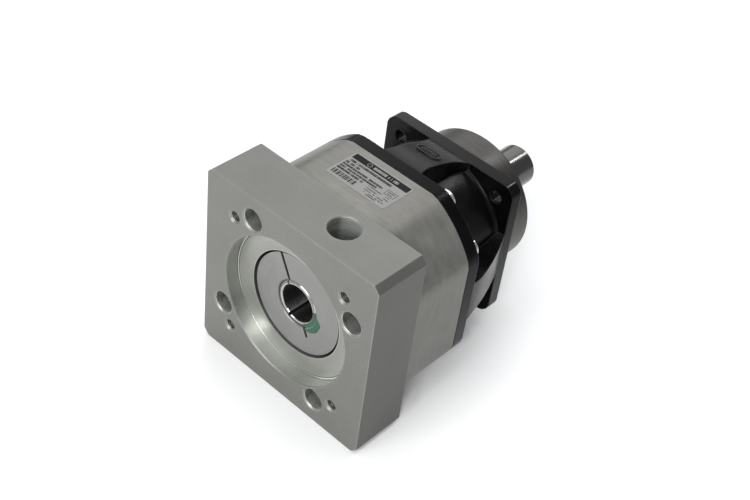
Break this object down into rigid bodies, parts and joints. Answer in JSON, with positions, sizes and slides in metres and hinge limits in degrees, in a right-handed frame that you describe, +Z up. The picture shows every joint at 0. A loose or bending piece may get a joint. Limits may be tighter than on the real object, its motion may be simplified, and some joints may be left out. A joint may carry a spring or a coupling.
{
  "type": "inline gear reducer",
  "caption": "Inline planetary gear reducer with a clamp-hub motor input, square adapter plate, ribbed output housing, centring spigot and plain output shaft.",
  "frame": {"origin": "centre of the output flange's mounting face, on the shaft axis", "axes": "+X along the shaft axis, out of the output shaft; +Z up, through the rating label and the clamp access hole; +Y to the left when looking along +X"},
  "size_m": [0.1695, 0.1028, 0.1028],
  "materials": {
    "plate_aluminium": "satin milled aluminium",
    "casing_aluminium": "satin brushed aluminium, slightly smudged",
    "painted_casting": "black semi-gloss paint, spigot bare and turned",
    "black_screw": "black oxide",
    "zinc_screw": "bright zinc",
    "seal_rubber": "black nitrile",
    "label_film": null,
    "hub_steel": "fine turned",
    "bushing_steel": "ground",
    "gear_steel": "ground case-hardened steel",
    "spring_steel": "phosphated",
    "bearing_steel": "polished",
    "cage_brass": "satin",
    "washer_bronze": "satin",
    "shaft_steel": "ground"
  },
  "bodies": {
    "casing": {"adapter_plate": "plate_aluminium", "plate_screws": "black_screw", "gear_casing": "casing_aluminium", "output_housing": "painted_casting", "ring_screws": "zinc_screw", "plate_o_ring": "seal_rubber", "ring_o_ring": "seal_rubber", "rating_label": "label_film", "input_bearing_outer": "bearing_steel", "rear_bearing_outer": "bearing_steel", "front_bearing_outer": "bearing_steel", "outer_spacer": "shaft_steel", "bearing_circlip": "spring_steel", "output_seal": "seal_rubber"},
    "input": {"clamp_hub": "hub_steel", "shaft_bushing": "bushing_steel", "clamp_screw": "black_screw", "sun_pinion": "gear_steel", "hub_circlip": "spring_steel", "input_bearing_inner": "bearing_steel"},
    "output": {"output_shaft": "shaft_steel", "carrier_plate": "gear_steel", "planet_pins": "bearing_steel", "planet_washers": "washer_bronze", "rear_bearing_inner": "bearing_steel", "front_bearing_inner": "bearing_steel", "inner_spacer": "shaft_steel", "bearing_nut": "spring_steel"},
    "planet_1": {"planet_gear_1": "gear_steel"},
    "planet_2": {"planet_gear_2": "gear_steel"},
    "planet_3": {"planet_gear_3": "gear_steel"},
    "needles_1": {"planet_needles_1": "bearing_steel"},
    "needles_2": {"planet_needles_2": "bearing_steel"},
    "needles_3": {"planet_needles_3": "bearing_steel"},
    "input_balls": {"input_bearing_balls": "bearing_steel", "input_bearing_cage": "cage_brass"},
    "rear_balls": {"rear_bearing_balls": "bearing_steel", "rear_bearing_cage": "cage_brass"},
    "front_balls": {"front_bearing_balls": "bearing_steel", "front_bearing_cage": "cage_brass"}
  },
  "joints": [
    {"name": "input_spin", "type": "hinge", "parent": "casing", "child": "input", "pos_m": [-0.0958, 0, 0], "axis": [1, 0, 0], "continuous": true},
    {"name": "output_spin", "type": "hinge", "parent": "casing", "child": "output", "pos_m": [0, 0, 0], "axis": [1, 0, 0], "continuous": true},
    {"name": "planet_1_spin", "type": "hinge", "parent": "output", "child": "planet_1", "pos_m": [-0.059, 0, 0.0225], "axis": [1, 0, 0], "continuous": true},
    {"name": "planet_2_spin", "type": "hinge", "parent": "output", "child": "planet_2", "pos_m": [-0.059, -0.01949, -0.01125], "axis": [1, 0, 0], "continuous": true},
    {"name": "planet_3_spin", "type": "hinge", "parent": "output", "child": "planet_3", "pos_m": [-0.059, 0.01949, -0.01125], "axis": [1, 0, 0], "continuous": true},
    {"name": "needles_1_spin", "type": "hinge", "parent": "output", "child": "needles_1", "pos_m": [-0.059, 0, 0.0225], "axis": [1, 0, 0], "continuous": true},
    {"name": "needles_2_spin", "type": "hinge", "parent": "output", "child": "needles_2", "pos_m": [-0.059, -0.01949, -0.01125], "axis": [1, 0, 0], "continuous": true},
    {"name": "needles_3_spin", "type": "hinge", "parent": "output", "child": "needles_3", "pos_m": [-0.059, 0.01949, -0.01125], "axis": [1, 0, 0], "continuous": true},
    {"name": "input_balls_spin", "type": "hinge", "parent": "casing", "child": "input_balls", "pos_m": [-0.077, 0, 0], "axis": [1, 0, 0], "continuous": true},
    {"name": "rear_balls_spin", "type": "hinge", "parent": "casing", "child": "rear_balls", "pos_m": [-0.031, 0, 0], "axis": [1, 0, 0], "continuous": true},
    {"name": "front_balls_spin", "type": "hinge", "parent": "casing", "child": "front_balls", "pos_m": [-0.005, 0, 0], "axis": [1, 0, 0], "continuous": true}
  ],
  "couplings": [
    {"joint": "output_spin", "follows": "input_spin", "ratio": 0.2},
    {"joint": "planet_1_spin", "follows": "input_spin", "ratio": -0.53333},
    {"joint": "planet_2_spin", "follows": "input_spin", "ratio": -0.53333},
    {"joint": "planet_3_spin", "follows": "input_spin", "ratio": -0.53333},
    {"joint": "needles_1_spin", "follows": "input_spin", "ratio": -0.32},
    {"joint": "needles_2_spin", "follows": "input_spin", "ratio": -0.32},
    {"joint": "needles_3_spin", "follows": "input_spin", "ratio": -0.32},
    {"joint": "input_balls_spin", "follows": "input_spin", "ratio": 0.43333},
    {"joint": "rear_balls_spin", "follows": "input_spin", "ratio": 0.081443},
    {"joint": "front_balls_spin", "follows": "input_spin", "ratio": 0.081443}
  ]
}
